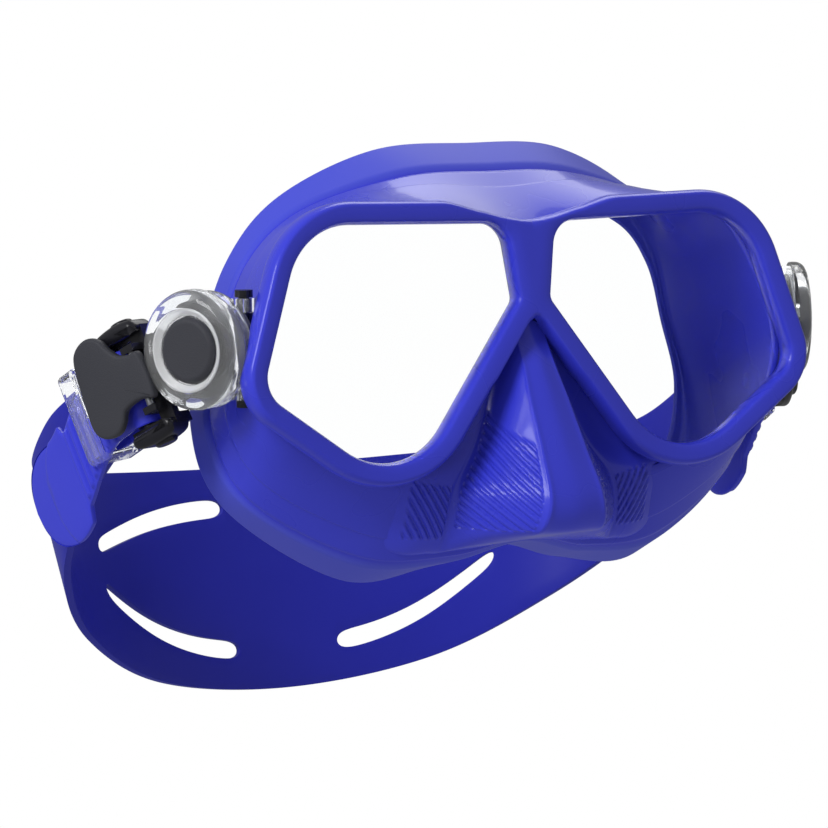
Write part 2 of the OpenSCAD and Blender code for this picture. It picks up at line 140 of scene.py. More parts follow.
def node(tree, kind, inputs=(), **settings):
    """Add one node, set its properties, then set or link its inputs."""
    made = tree.nodes.new(kind)
    for key, value in settings.items():
        setattr(made, key, value)
    for key, value in dict(inputs).items():
        if isinstance(value, bpy.types.NodeSocket):
            tree.links.new(value, made.inputs[key])
        else:
            made.inputs[key].default_value = value
    return made


def material(name, low, high, rough, grain, bump=0.02, blasted=None, **shader):
    """A Principled surface whose colour drifts between two hexes and whose grain is fine noise.
    rough is a pair of roughness limits, grain the noise size in repeats a metre. Where the mesh's
    satin attribute is 1, blasted gives the hex and roughness instead and there is no coat."""
    made = bpy.data.materials.new(name)
    made.use_nodes = True
    tree = made.node_tree
    tree.nodes.clear()
    place = node(tree, "ShaderNodeTexCoord").outputs["Object"]
    cloud = node(tree, "ShaderNodeTexNoise", {"Vector": place, "Scale": 28.0, "Detail": 3.0})
    fine = node(tree, "ShaderNodeTexNoise", {"Vector": place, "Scale": grain, "Detail": 2.0})
    tone = node(tree, "ShaderNodeMix", {"Factor": cloud.outputs["Fac"]}, data_type="RGBA")
    tone.inputs["A"].default_value, tone.inputs["B"].default_value = linear(low), linear(high)
    polish = node(tree, "ShaderNodeMapRange", {"Value": cloud.outputs["Fac"], "From Min": 0.3,
                                               "From Max": 0.7, "To Min": rough[0], "To Max": rough[1]})
    relief = node(tree, "ShaderNodeBump", {"Height": fine.outputs["Fac"], "Strength": bump,
                                           "Distance": 0.0002})
    colour, gloss = tone.outputs["Result"], polish.outputs["Result"]
    if blasted:
        mask = node(tree, "ShaderNodeAttribute", attribute_name="satin").outputs["Fac"]
        mixed = node(tree, "ShaderNodeMix", {"Factor": mask}, data_type="RGBA")
        tree.links.new(colour, mixed.inputs["A"])
        mixed.inputs["B"].default_value = linear(blasted[0])
        colour = mixed.outputs["Result"]
        gloss = node(tree, "ShaderNodeMapRange", {"Value": mask, "To Min": gloss,
                                                  "To Max": blasted[1]}).outputs["Result"]
        coat = shader.pop("Coat Weight")
        shader["Coat Weight"] = node(tree, "ShaderNodeMapRange", {
            "Value": mask, "To Min": coat, "To Max": 0.0}).outputs["Result"]
    surface = node(tree, "ShaderNodeBsdfPrincipled",
                   {"Base Color": colour, "Roughness": gloss,
                    "Normal": relief.outputs["Normal"], **shader})
    node(tree, "ShaderNodeOutputMaterial", {"Surface": surface.outputs[0]})
    return made


print("material helpers ready")

# %% [markdown]
# One material for each real one, and two that carry painted light: the head strap's deeper silicone
# is painted shade and the milky collar plastic a painted highlight. Silicone and nylon differ most in
# their roughness, which follows how the mould was finished: polished, or blasted with sand or sparks.

# %% Materials
# Liquid silicone, injected into a polished mould: glossy, but satin where the tool is sand-blasted.
silicone = material("moulded_silicone", "#2B30AE", "#3238BA", (0.24, 0.32), 900, 0.03, ("#3A42B6", 0.5),
                    **{"Coat Weight": 0.25, "Coat Roughness": 0.06, "Specular IOR Level": 0.35})
# Strap silicone: the same silicone painted a deeper blue, as painted shade for the strap's shaded inner
# face; satin on both faces.
strap_silicone = material("strap_silicone", "#1B1F8A", "#212596", (0.34, 0.42), 1200, 0.05,
                          **{"Specular IOR Level": 0.25})
# Polycarbonate, injection moulded and clear.
polycarbonate = material("clear_polycarbonate", "#F2F6FA", "#FFFFFF", (0.02, 0.05), 300, 0.01,
                         **{"Transmission Weight": 0.95, "IOR": 1.42})
# The same plastic made milky so that it scatters light: a painted highlight for the bright rim of the clear
# collar round the button.
milky_highlight_plastic = material("polycarbonate_painted_highlight", "#EEF1F6", "#FFFFFF", (0.05, 0.3), 700, 0.1,
                   **{"Transmission Weight": 0.7, "IOR": 1.45})
# Tempered float glass, ground to the lens outline.
glass = material("tempered_glass", "#FDFEFE", "#FFFFFF", (0.0, 0.01), 200, 0.0,
                 **{"Transmission Weight": 1.0, "IOR": 1.06})
# Glass-filled nylon straight from a polished tool.
gloss_nylon = material("gloss_black_nylon", "#101015", "#17171D", (0.2, 0.3), 1500, 0.05)
# The same nylon with a fine spark-eroded grain.
matte_nylon = material("matte_black_nylon", "#26272D", "#303138", (0.5, 0.6), 2600, 0.25)
# Cold-drawn stainless pins and stamped spring parts.
steel = material("stainless_steel", "#A9ACB2", "#BFC2C8", (0.22, 0.34), 1800, 0.05, Metallic=1.0)

FINISH = {"skirt": silicone, "inner_frame": steel, "lens": glass, "hinge_barrel": gloss_nylon,
          "hinge_pin": gloss_nylon, "hub_base": polycarbonate, "hub_cap": polycarbonate,
          "pivot_screw": steel, "hub_button": matte_nylon, "buckle_frame": gloss_nylon,
          "roller_axle": steel, "roller": gloss_nylon, "lever": matte_nylon, "lever_pin": steel,
          "lever_spring": steel, "upper_tab": gloss_nylon, "lower_tab": gloss_nylon,
          "tab_springs": steel, "keeper": polycarbonate, "strap_end": strap_silicone,
          "strap": strap_silicone}
for name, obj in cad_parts.items():
    kind = name.split("_", 1)[1] if name.startswith(("left_", "right_")) else name
    obj.data.materials.clear()
    obj.data.materials.append(FINISH[kind])
print("materials:", len({m.name for m in FINISH.values()}))

# %% [markdown]
# The skirt's wall is one silicone moulding. It starts behind the lens bead, runs back to a crease,
# turns out into a flange and rolls in to the thin face seal. Half rings from the top centre to the
# bottom centre give its shape; the section through them is rounded at each corner.

# %% Skirt wall, flange and face seal
front = [[0, -34.3, 31.4], [20, -34, 35.8], [44, -33.2, 36.8], [57, -32.5, 31], [66, -34, 15],
         [68.5, -35, -1], [61, -35.5, -15], [38, -35.5, -26], [20, -36, -30], [0, -44, -33]]
crease = [[0, -16, 43.5], [22, -15, 42.5], [46, -11, 35], [59, -9, 23], [65, -8, 6],
          [69.5, -11, -13], [64, -19, -30], [40, -26, -44], [18, -30, -45], [0, -34, -41]]
rim = [[0, -6, 49.5], [24, -5, 48.3], [46, -1, 38.2], [58, 1, 24.4], [64, 2.5, 6],
       [68.5, 1, -14], [63.5, -6, -33], [39, -15, -50], [17.4, -16, -48.5], [0, -18, -44]]
seal = [[0, 0, 36.5], [24, 2, 36], [46, 4, 29], [56, 5.5, 18.5], [60.5, 6, 4],
        [63, 4, -12], [57, 1, -28], [35, -7, -38.5], [16, -11, -38], [0, -13, -33]]


def ring(half, per=14):
    """Closed ring: a curve through the half ring and its mirror image, sampled evenly in parameter."""
    h = np.array(half, float)
    m = h * [-1, 1, 1]
    full = np.concatenate([m[1:2], h, m[-2:-1]])
    side = spline(full, 1 + np.linspace(0, len(h) - 1, per * (len(h) - 1) + 1))
    return np.concatenate([side, (side * [-1, 1, 1])[-2:0:-1]])


def inset(r, inwards, forwards):
    """Each point moved towards the mask's axis and forwards."""
    d = (r - [0, 0, -2]) * [1, 0, 1]
    return r - inwards * d / np.linalg.norm(d, axis=1, keepdims=True) - [0, forwards, 0]


r_front, r_crease, r_rim, r_seal = (ring(h) for h in (front, crease, rim, seal))
r_mid = (r_rim + r_seal) / 2 + [0, 3, 0]
WALL, LIP, CORNER_STEPS = 2.6, 1.6, 6


def along_skin(a, b, share, proud):
    """Ring a share of the way from a to b, moved outwards by proud millimetres."""
    r = a + (b - a) * share
    return inset(r, -proud, 0)


# Each row: a ring, the size of its rounded corner, and how sand-blasted the mould is there.
wall_rows = [
    (r_front, 1, 0),
    (along_skin(r_front, r_crease, 0.3, 0.5), 5, 0),
    (along_skin(r_front, r_crease, 0.62, 0.55), 0.5, 0),
    (along_skin(r_front, r_crease, 0.65, 0.0), 0.5, 0),
    (along_skin(r_front, r_crease, 0.92, 0.15), 0.7, 0),
    (along_skin(r_front, r_crease, 0.98, -0.7), 0.5, 0),
    (along_skin(r_crease, r_rim, 0.12, 0.35), 0.8, 1),
    (r_rim, 1.3, 1),
    (r_mid, 6, 1),
    (r_seal, 0.8, 1),
    (inset(r_seal, 0, LIP), 0.8, 1),
    (inset(r_mid, 0, LIP), 6, 1),
    (inset(r_rim, WALL, 0.6), 2, 0.5),
    (inset(r_crease, WALL, 0), 3, 0),
    (inset(r_front, WALL, 0), 1, 0)]
section = soften([r[0] for r in wall_rows], [r[1] for r in wall_rows], CORNER_STEPS, closed=True)
blasted = np.repeat([r[2] for r in wall_rows], CORNER_STEPS)[:, None] * np.ones(section.shape[1])
rows, cols = section.shape[:2]
add_piece("skirt_wall", section.reshape(-1, 3), grid_faces(rows, cols, True, True), silicone,
          "mask", ["skirt"], satin=blasted.ravel())
print("skirt wall:", rows, "rows of", cols)

# %% [markdown]
# Each lens sits in a rounded bead of silicone. The opening is a convex outline with five rounded
# corners, drawn in the lens plane, which leans back a little. The bead's section is a superellipse.

# %% Lens beads
LENS = [[6.7, 17.6, 6], [57.2, 18.8, 16], [69, -17.3, 7], [35.2, -41.8, 18], [4.4, 0.3, 2.5]]
RAKE = radians(5.5)


def on_lens_plane(p):
    """Across, up and forward of the lens plane to the mask's frame."""
    x, up, out = np.moveaxis(np.asarray(p, float), -1, 0)
    return np.stack([x, -36 + up * np.sin(RAKE) - out * np.cos(RAKE),
                     14 + up * np.cos(RAKE) + out * np.sin(RAKE)], -1)


def rounded_outline(corners, per_corner=14, per_side=12):
    """Closed outline of fillet arcs and straight sides, and its unit normals pointing outwards."""
    c = np.array(corners, float)
    p, r = c[:, :2], c[:, 2:]
    d1, d2 = np.roll(p, 1, 0) - p, np.roll(p, -1, 0) - p
    d1, d2 = (d / np.linalg.norm(d, axis=1, keepdims=True) for d in (d1, d2))
    half = np.arccos((d1 * d2).sum(1, keepdims=True)) / 2
    mid = (d1 + d2) / np.linalg.norm(d1 + d2, axis=1, keepdims=True)
    centre = p + mid * r / np.sin(half)
    a, b = (p + d * r / np.tan(half) - centre for d in (d1, d2))
    a0 = np.arctan2(a[:, 1], a[:, 0])
    turn = (np.arctan2(b[:, 1], b[:, 0]) - a0 + 3 * np.pi) % (2 * np.pi) - np.pi
    angle = a0[:, None] + turn[:, None] * np.linspace(0, 1, per_corner)
    normal = np.stack([np.cos(angle), np.sin(angle)], -1)
    arc = centre[:, None] + r[:, None] * normal
    t = np.linspace(0, 1, per_side + 2)[1:-1, None]
    sides = arc[:, -1][:, None] * (1 - t) + np.roll(arc[:, 0], -1, 0)[:, None] * t
    flat = np.repeat(normal[:, -1][:, None], per_side, 1)
    return (np.concatenate([arc, sides], 1).reshape(-1, 2),
            np.concatenate([normal, flat], 1).reshape(-1, 2))


def swell(u):
    """Quarter superellipse: 0 at 0, 1 from 1 on, (1-(1-u)^2.3)^(1/2.3) between."""
    return (1 - (1 - np.clip(u, 0, 1))**2.3)**(1 / 2.3)


def depth_inside(p, g):
    """Distance inside the bead's outer edge: 5.3-g from the opening, or near the bridge up to the
    arch over the nose (up = -4.3-0.28x^2); the brow line 18.4 to 24.4 trims both towards the middle."""
    x, up = np.abs(p[..., 0]), p[..., 1]
    arch = np.where(x < 2.45, -4.3 - 0.28 * x**2, -5.98 - 1.372 * (x - 2.45))
    brow = 18.4 + 6 * step(x, 0, 30) - up
    bridge = np.where(x < 12, np.minimum(brow, up - arch), -9)
    plain = np.minimum(5.3 - g, brow)
    blend = np.clip(0.5 + 0.5 * (bridge - plain) / 1.2, 0, 1)
    return plain + (bridge - plain) * blend + 0.6 * blend * (1 - blend)


opening, outwards = rounded_outline(LENS, 22, 18)
reach = np.linspace(0, 14, 1401)
probe = opening[:, None] + outwards[:, None] * reach[:, None]
outside = (depth_inside(probe, reach) <= 0) | (probe[..., 0] <= 0)
extent = reach[np.argmax(outside, 1)]
share = (1 - np.cos(np.linspace(0, np.pi, 33))) / 2
g = extent[:, None] * share
in_plane = opening[:, None] + outwards[:, None] * g[..., None]
meets = in_plane[:, -1, 0] < 0.02
top_end = ~meets & (in_plane[:, -1, 0] < 1.1) & (in_plane[:, -1, 1] > 10)
in_plane[top_end, -1] = [0, 18.4]
in_plane[meets, -1, 0] = 0
height = (2.1 + 1.4 * swell(g / 4.6)) * swell(g / 1.1) * swell(depth_inside(in_plane, g) / 1.5)
height[~meets, -1] = 0
front_back = [on_lens_plane(np.concatenate([in_plane, (k * height)[..., None]], -1)) for k in (1, -1)]
bead = np.stack([q * m for m in ([1, 1, 1], [-1, 1, 1]) for q in front_back])
quads = grid_faces(*in_plane.shape[:2], True)
count = in_plane.shape[0] * in_plane.shape[1]
add_piece("lens_beads", bead.reshape(-1, 3), np.concatenate([quads + k * count for k in range(4)]),
          silicone, "mask", crease=60)
print("bead quads:", 4 * len(quads))

# %% [markdown]
# Moulded plastic has no sharp edges. A slab with a quarter-circle edge all round serves for the
# lever and the tab hoods. It could be an extrusion with a bevel; rings of points are exact instead.

# %% Slabs with rounded edges
def pebble(outline, normals, edge, low, high, steps=7):
    """A slab over a closed outline: rings set in by edge*(1-sin a) while the height runs
    edge*(1-cos a) short of each face, then shrunk to a middle point."""
    a = np.linspace(0, np.pi / 2, steps)
    g = np.concatenate([edge * (1 - np.cos(a[::-1])), edge * (1 - np.cos(a))])[:, None, None]
    h = np.concatenate([low + edge * (1 - np.sin(a[::-1])), high - edge * (1 - np.sin(a))])
    walls = outline - normals * g
    middle = outline.mean(0)
    shrink = np.array([0, 0.4, 0.75])[:, None, None]
    caps = middle + (walls[0] - middle) * shrink
    flat = np.concatenate([caps, walls, caps[::-1]])
    h = np.concatenate([[low] * 3, h, [high] * 3])
    return np.concatenate([flat, np.broadcast_to(h[:, None, None], flat.shape[:2] + (1,))], -1)


def curve_outline(points, per=8):
    """Smooth closed outline through points, with unit normals pointing outwards."""
    p = np.array(points, float)
    loop = np.concatenate([p[-1:], p, p[:2]])
    q = spline(loop, 1 + np.arange(len(p) * per) / per)
    d = np.roll(q, -1, 0) - np.roll(q, 1, 0)
    n = np.stack([d[:, 1], -d[:, 0]], 1) / np.linalg.norm(d, axis=1, keepdims=True)
    area = (q[:, 0] * np.roll(q[:, 1], -1) - q[:, 1] * np.roll(q[:, 0], -1)).sum()
    return q, n * np.sign(area)


# %% [markdown]
# The nose pocket is moulded with the skirt. A net of points gives its front, its two finger panels,
# the valley beside each bead and the underside. Ribs for the fingers stand 0.35 mm proud.

# %% Nose pocket with finger ribs
net = np.array([
    [[0, -34.5, 16], [1.6, -34.4, 16], [2, -34.2, 16], [2.2, -34, 16], [2.3, -33.9, 16], [2.4, -33.8, 16]],
    [[0, -36.2, 7.6], [3.6, -35.6, 7], [4.6, -34.4, 6.5], [5.3, -33.6, 6], [6.2, -33.4, 6], [7, -33.2, 6]],
    [[0, -41, -0.5], [4.0, -40.2, -0.5], [6.2, -37, -1], [8.2, -33.3, -1.5], [10.5, -33, -2],
     [12.8, -33, -2]],
    [[0, -45.4, -8], [4.9, -44.6, -8], [7.6, -40, -9], [10.6, -34.2, -9.5], [14.5, -33.6, -9.5],
     [18, -33.6, -9]],
    [[0, -51.6, -18.5], [5.7, -50.9, -18.5], [9.9, -44.5, -19.2], [14.5, -35.8, -19],
     [20, -34.2, -18.5], [25, -34.2, -18]],
    [[0, -57.2, -29], [6.8, -56.6, -28.8], [13, -47.6, -28.6], [20, -37.4, -27.5],
     [28, -36.4, -26], [37, -34.5, -24]],
    [[0, -55.6, -36], [7.8, -55, -35.8], [14.3, -46.2, -36], [21.5, -36.6, -35.5], [29, -34.9, -35],
     [38.5, -29.5, -35]],
    [[0, -48, -38.6], [8, -47.6, -38.6], [14.5, -40.6, -40], [22, -33, -42], [30, -31, -42],
     [38.5, -26.5, -40.5]],
    [[0, -34, -41], [8, -33.6, -41.6], [15, -31.6, -42.6], [23, -27.6, -43.6], [31, -26, -43.5],
     [38, -22.5, -42]]])
levels, places = 260, 320


def between(a, b, share):
    """The net's column a moved a share of the way to column b."""
    return net[:, a] * (1 - share) + net[:, b] * share


firm = np.stack([net[:, 0], between(1, 0, 0.25), net[:, 1], between(1, 2, 0.2), net[:, 2],
                 between(3, 2, 0.3), net[:, 3], between(3, 4, 0.25), net[:, 4], net[:, 5]], 1)
by_level = spline(firm, np.linspace(0, len(net) - 1, levels))
mirrored_net = np.concatenate([by_level[:, 1:2] * [-1, 1, 1], by_level], 1)
nose = np.moveaxis(spline(np.moveaxis(mirrored_net, 1, 0), 1 + np.linspace(0, 9, places)), 0, 1)
across_u = np.linspace(0, 9, places)[None, :]
down_v = np.linspace(0, 8, levels)[:, None]
du, dv = np.gradient(nose, axis=1), np.gradient(nose, axis=0)
face_out = np.cross(du, dv)
face_out /= np.linalg.norm(face_out, axis=-1, keepdims=True)
face_out *= np.sign(-face_out[levels // 2, 5, 1])


def ribs(direction, pitch, shift):
    """Flat-topped ribs across a direction: steep sine clipped to 0..1."""
    wave = np.sin(2 * np.pi * ((nose * direction).sum(-1) + shift) / pitch)
    return step(wave, -0.55, 0.15)


panel = (step(across_u, 2.9, 3.05) * step(-across_u, -5.7, -5.55)
         * step(down_v + 0.3 * across_u, 4.75, 4.9) * step(-down_v, -6.2, -6.1))
cheek = (step(across_u, 6.7, 6.85) * step(-across_u, -8.35, -8.25)
         * step(down_v, 4.95, 5.05) * step(-down_v, -6.55, -6.45))
raised = (panel * (0.5 * ribs([-0.332, -0.45, 0.829], 1.75, 0.2) - 0.3)
          + cheek * (0.5 * ribs([0.86, 0, -0.5], 1.5, 0.0) - 0.3))
nose = nose + face_out * raised[..., None]
whole = np.concatenate([nose[:, :0:-1] * [-1, 1, 1], nose], 1)
add_piece("nose_pocket", whole.reshape(-1, 3), grid_faces(*whole.shape[:2]), silicone,
          "mask")
print("nose pocket faces:", (whole.shape[0] - 1) * (whole.shape[1] - 1))

# %% [markdown]
# Hub and buckle parts are drawn in the hub's own frame: x back along the strap, y down and z out of
# the hub's face. The buckle hangs at an angle from it and the strap is cranked inwards again.

# %% Frames of the hub, the buckle and the strap
YAW, DROP, CRANK = radians(27), radians(26), radians(15)
ROLLER_U, AXLE_Z = 23.0, -3.6


def on_hub(p, drop=0.0):
    """Right-hand hub frame, turned by drop in its face, to the mask's frame."""
    x, y, z = np.moveaxis(np.asarray(p, float), -1, 0)
    x, y = x * np.cos(drop) - y * np.sin(drop), x * np.sin(drop) + y * np.cos(drop)
    back, out = np.array([-np.sin(YAW), np.cos(YAW), 0]), np.array([-np.cos(YAW), -np.sin(YAW), 0])
    return (np.array([-78.5, -25, 5.8]) + x[..., None] * back + z[..., None] * out
            - y[..., None] * np.array([0, 0, 1.0]))


def on_buckle(p):
    """Buckle frame to the mask's frame."""
    return on_hub(p, DROP)


def on_strap(p):
    """Strap frame behind the roller to the mask's frame."""
    x, y, z = np.moveaxis(np.asarray(p, float), -1, 0)
    return on_buckle(np.stack([ROLLER_U + x * np.cos(CRANK) + z * np.sin(CRANK), y,
                               AXLE_Z - x * np.sin(CRANK) + z * np.cos(CRANK)], -1))


def pair(name, points, faces, material, body, nodes=(), crease=40):
    """The right-hand piece and its mirror image on the left."""
    for side, pts in (("right", points), ("left", points * [-1, 1, 1])):
        add_piece(f"{side}_{name}", pts.reshape(-1, 3), faces, material, f"{side}_{body}",
                  [f"{side}_{n}" for n in nodes], crease)


def revolved(profile, cuts, around=96, steps=5, closed=False):
    """Turn a rounded profile of (radius, height) about the z axis."""
    q = soften(np.array(profile, float), cuts, steps, closed)
    a = np.linspace(0, 2 * np.pi, around, endpoint=False)
    return np.stack([q[:, :1] * np.cos(a), q[:, :1] * np.sin(a), q[:, 1:] * np.ones_like(a)], -1)


# %% [markdown]
# The hub's clear cap is turned about its own axis: a low dish with a raised collar, and inside the
# collar a well for the matte button. A short side wall covers the hub's front.

# %% Clear hub cap and button
cap = revolved([[2.4, -0.6], [13.4, -0.6], [13.4, 1.4], [12.8, 2.6], [11.6, 3.3], [10.1, 3.6],
                [9.4, 3.6], [7.9, 2.1], [7.7, 2.1], [7.7, 1.0], [2.4, 1.0]],
               [0.1, 0.3, 0.6, 0.6, 0.6, 0.3, 0.3, 0.1, 0.1, 0.2, 0.1], closed=True)
pair("clear_cap", on_hub(cap), grid_faces(*cap.shape[:2], True, True), polycarbonate, "hub",
     ["hub_cap"], crease=50)
arc = np.radians(np.linspace(108, 252, 60))
cap_edge = np.array([[13.35, -0.7], [13.35, -2.8], [13.1, -3.0], [12.3, -3.0], [12.05, -2.8],
                     [12.05, -0.7]])
collar = revolved([[9.35, 3.7], [8.9, 3.85], [7.75, 2.75], [7.75, 2.2], [9.35, 3.4]],
                  [0.1, 0.2, 0.1, 0.1, 0.1], closed=True)
# The collar's milky white is a painted highlight on the clear raised rim.
pair("cap_collar", on_hub(collar), grid_faces(*collar.shape[:2], True, True), milky_highlight_plastic, "hub",
     crease=50)
wall = np.stack([cap_edge[:, :1] * np.cos(arc), cap_edge[:, :1] * np.sin(arc),
                 cap_edge[:, 1:] * np.ones_like(arc)], -1)
ends = [np.broadcast_to(wall[:, e].mean(0), (len(wall), 1, 3)) for e in (0, -1)]
wall = np.concatenate([ends[0], wall, ends[1]], 1)
pair("cap_side", on_hub(wall), grid_faces(*wall.shape[:2], True, False), polycarbonate, "hub",
     crease=50)
button = revolved([[0, 1.0], [7.4, 1.0], [7.4, 2.7], [6.5, 3.45], [0, 3.15]], [0, 0.2, 0.5, 0.6, 0])
pair("button", on_hub(button), grid_faces(*button.shape[:2], False, True), matte_nylon, "hub",
     ["hub_button"])
print("hub pieces on each side: cap, collar, side wall and button")

# %% [markdown]
# The release lever is a flat hammerhead with a soft edge; the squeeze tabs are rounded caps over the
# buckle's arms. The keeper is a clear plastic sleeve on the strap.

# %% Lever, squeeze tabs and keeper
head = [[12.6, -4.9], [15.5, -5.9], [18.4, -7.0], [20.4, -9.4], [21.8, -12], [24.6, -13.8],
        [28, -13.6], [30.8, -11.6], [32.1, -7], [32.7, -1], [33.0, 4.6], [31.8, 7.4], [29.2, 8.8],
        [26, 8.9], [23.6, 7.4], [21.8, 5.2], [18.4, 4.4], [15.5, 4.6], [12.6, 4.8]]
lever = pebble(*curve_outline(head, 10), 0.8, 1.75, 4.0)
lever[..., 2] -= 0.004 * np.clip(lever[..., 0] - 20, 0, 20)**2
pair("release_lever", on_buckle(lever), grid_faces(*lever.shape[:2], False, True), matte_nylon,
     "lever", ["lever"])
for side_name, y0 in (("upper", -1), ("lower", 1)):
    hood_outline = [[13.2, 10.9], [14.2, 10.4], [23, 10.4], [25.2, 10.9], [25.6, 12.6],
                    [24, 13.7], [19, 14.2], [14.4, 13.6], [13, 12]]
    hood = pebble(*curve_outline(np.array(hood_outline) * [1, y0], 8), 1.6, -6.0, 1.5)
    thumb = revolved([[0, 13.2], [2.9, 13.2], [2.9, 14.5], [2.2, 14.9], [0, 14.6]],
                     [0, 0.1, 0.4, 0.4, 0], 48)[..., [0, 2, 1]] * [1, y0, 0.8] + [19, 0, -2.6]
    for part, pts in (("cap", hood), ("thumb_pad", thumb)):
        pair(f"{side_name}_{part}", on_buckle(pts), grid_faces(*pts.shape[:2], False, True),
             gloss_nylon, f"{side_name}_tab",
             [f"{side_name}_tab"] if part == "cap" else [])


def sleeve(half_y, half_z, wall, x0, x1, corner=1.6):
    """A rounded rectangular tube along x: the inner and outer outlines joined at rounded ends."""
    out, n = rounded_outline([[a * (half_y + wall), b * (half_z + wall), corner]
                              for a, b in ((1, 1), (1, -1), (-1, -1), (-1, 1))], 8, 6)
    loops = [(wall * 0.98, x0 + 0.5), (wall * 0.7, x0), (wall * 0.3, x0), (0, x0 + 0.5),
             (0, x1 - 0.5), (wall * 0.3, x1), (wall * 0.7, x1), (wall * 0.98, x1 - 0.5)]
    return np.stack([np.concatenate([np.full((len(out), 1), x), out - n * w], 1) for w, x in loops])


tube = sleeve(9.5, 4.8, 1.6, 12, 18)
pair("clear_keeper", on_strap(tube), grid_faces(*tube.shape[:2], True, True), polycarbonate,
     "keeper", ["keeper"])
print("lever, two hoods, two thumb pads and a keeper on each side")

# %% [markdown]
# The end of the strap doubles back round the roller. Its section is a rounded rectangle swept along
# the loop; cross ribs on the outside keep it from slipping and the tail ends in a thumb tab.

# %% Strap end with ribs and thumb tab
turn = np.linspace(-np.pi / 2, np.pi / 2, 24)[1:-1]
mid_r, TAIL_END = 3.6, 50.5
line = np.concatenate([np.stack([np.linspace(18.4, 0, 24), np.full(24, -mid_r)], 1),
                       np.stack([-mid_r * np.cos(turn), mid_r * np.sin(turn)], 1),
                       np.stack([np.linspace(0, TAIL_END, 200), np.full(200, mid_r)], 1)])
outer = np.arange(len(line)) >= 46
x_out = np.where(outer, line[:, 0], 0)
heading = np.gradient(line, axis=0)
heading /= np.linalg.norm(heading, axis=1, keepdims=True)
sideways = np.stack([-heading[:, 1], heading[:, 0]], 1)
tab = step(x_out, 26.3, 28.3)
shift = 11.5 * step(x_out, 6, 36)
end_round = (1 - np.clip((x_out - 35) / (TAIL_END - 35), 0, 1)**2.4)**(1 / 2.2)
half_w = np.where(outer, (9 + 3 * tab) * end_round, 9.0)
phi = np.linspace(0, 2 * np.pi, 72, endpoint=False)
sec_y = np.sign(np.cos(phi)) * np.abs(np.cos(phi))**0.35
sec_z = np.sign(np.sin(phi)) * np.abs(np.sin(phi))**0.35
rib = (step(np.sin(2 * np.pi * (x_out - 10) / 2.8), -0.3, 0.5) * step(x_out, 9.5, 10)
       * step(-x_out, -27, -26.5))
y = half_w[:, None] * sec_y + shift[:, None]
dish = step(np.hypot(x_out[:, None] - 24, y - 12.5), 16.2, 17.4)
proud = (0.55 * rib[:, None] * step(-np.abs(sec_y), -0.97, -0.86) - 0.8 * dish) * (sec_z > 0.3)
layer = (0.9 * sec_z + proud)[..., None] * sideways[:, None]
swept = np.stack([line[:, :1] + layer[..., 0], y, line[:, 1:] + layer[..., 1]], -1)
swept[outer, :, 2] -= 0.0015 * np.clip(x_out[outer] - 14, 0, None)[:, None]**2
start = swept[:1].mean(1, keepdims=True).repeat(swept.shape[1], 1)
swept = np.concatenate([start, swept])
pair("strap_loop", on_strap(swept), grid_faces(*swept.shape[:2], False, True), silicone,
     "buckle", ["strap_end"], crease=55)
print("strap loop points:", swept.shape[0] * swept.shape[1])

# %% [markdown]
# The rear strap is one sheet of silicone that widens from 20 mm at the buckle to a pad behind the
# head, with two slots each side. It is laid out as a sheet, given thickness, then edge-rounded.

# %% Head strap and pad
def strap_point(u, z):
    """A point of the left strap's frame in the mask's frame."""
    return (on_strap(np.array([[u, 0, z]])) * [-1, 1, 1])[0]


path = np.array([strap_point(20.8, -3.6), [86.5, 30, -24], [82, 52, -40], [67, 75, -52.5],
                 [40, 91, -62], [0, 97, -65.5], [-40, 91, -62]])
ups = np.array([[np.sin(DROP) * np.sin(YAW), np.sin(DROP) * np.cos(YAW), np.cos(DROP)],
                [0.16, 0.4, 0.9], [0.14, 0.3, 0.94], [0.1, 0.25, 0.96], [0.05, 0.22, 0.97],
                [0, 0.2, 0.98], [-0.05, 0.22, 0.97]])
halves = np.array([[9], [11.5], [14.5], [21], [27], [29], [27]], float)
SLOT = (0.69, 0.93)
ends = np.linspace(0, np.pi, 61)
f = np.unique(np.concatenate([np.linspace(0, SLOT[0], 70), np.mean(SLOT) - np.diff(SLOT)
                              / 2 * np.cos(ends), np.linspace(SLOT[1], 1, 18)]))
along_strap = f * 5
mid_line = spline(path, along_strap)
up = spline(ups, along_strap)
up /= np.linalg.norm(up, axis=1, keepdims=True)
width = spline(halves, along_strap)[:, 0]
k = np.clip(2 * (f - SLOT[0]) / (SLOT[1] - SLOT[0]) - 1, -1, 1)
SLOT_HALF, PAD_HALF = 2.5, 29.0
gap = SLOT_HALF / PAD_HALF * np.sqrt(np.clip(1 - np.abs(k)**14, 0, 1))
share = 0.22 + 0.42 * np.sin(np.pi / 2 * np.clip((f - SLOT[0]) / (SLOT[1] - SLOT[0]), 0, 1))
edges = np.stack([-np.ones_like(f), -share - gap, -share + gap, np.zeros_like(f), share - gap,
                  share + gap, np.ones_like(f)])
SUB = 4
rows_v = np.concatenate([edges[a] + (edges[a + 1] - edges[a]) * (np.arange(SUB) / SUB)[:, None]
                         for a in range(6)] + [edges[6:]])
band = mid_line + up * (rows_v * width)[..., None]
hole = np.zeros((rows_v.shape[0] - 1, len(f) - 1), bool)
fc = (f[1:] + f[:-1]) / 2
in_slot = (fc > SLOT[0]) & (fc < SLOT[1])
hole[SUB:2 * SUB] = hole[4 * SUB:5 * SUB] = in_slot
whole = np.concatenate([band, (band * [-1, 1, 1])[:, -2::-1]], 1)
hole = np.concatenate([hole, hole[:, ::-1]], 1)
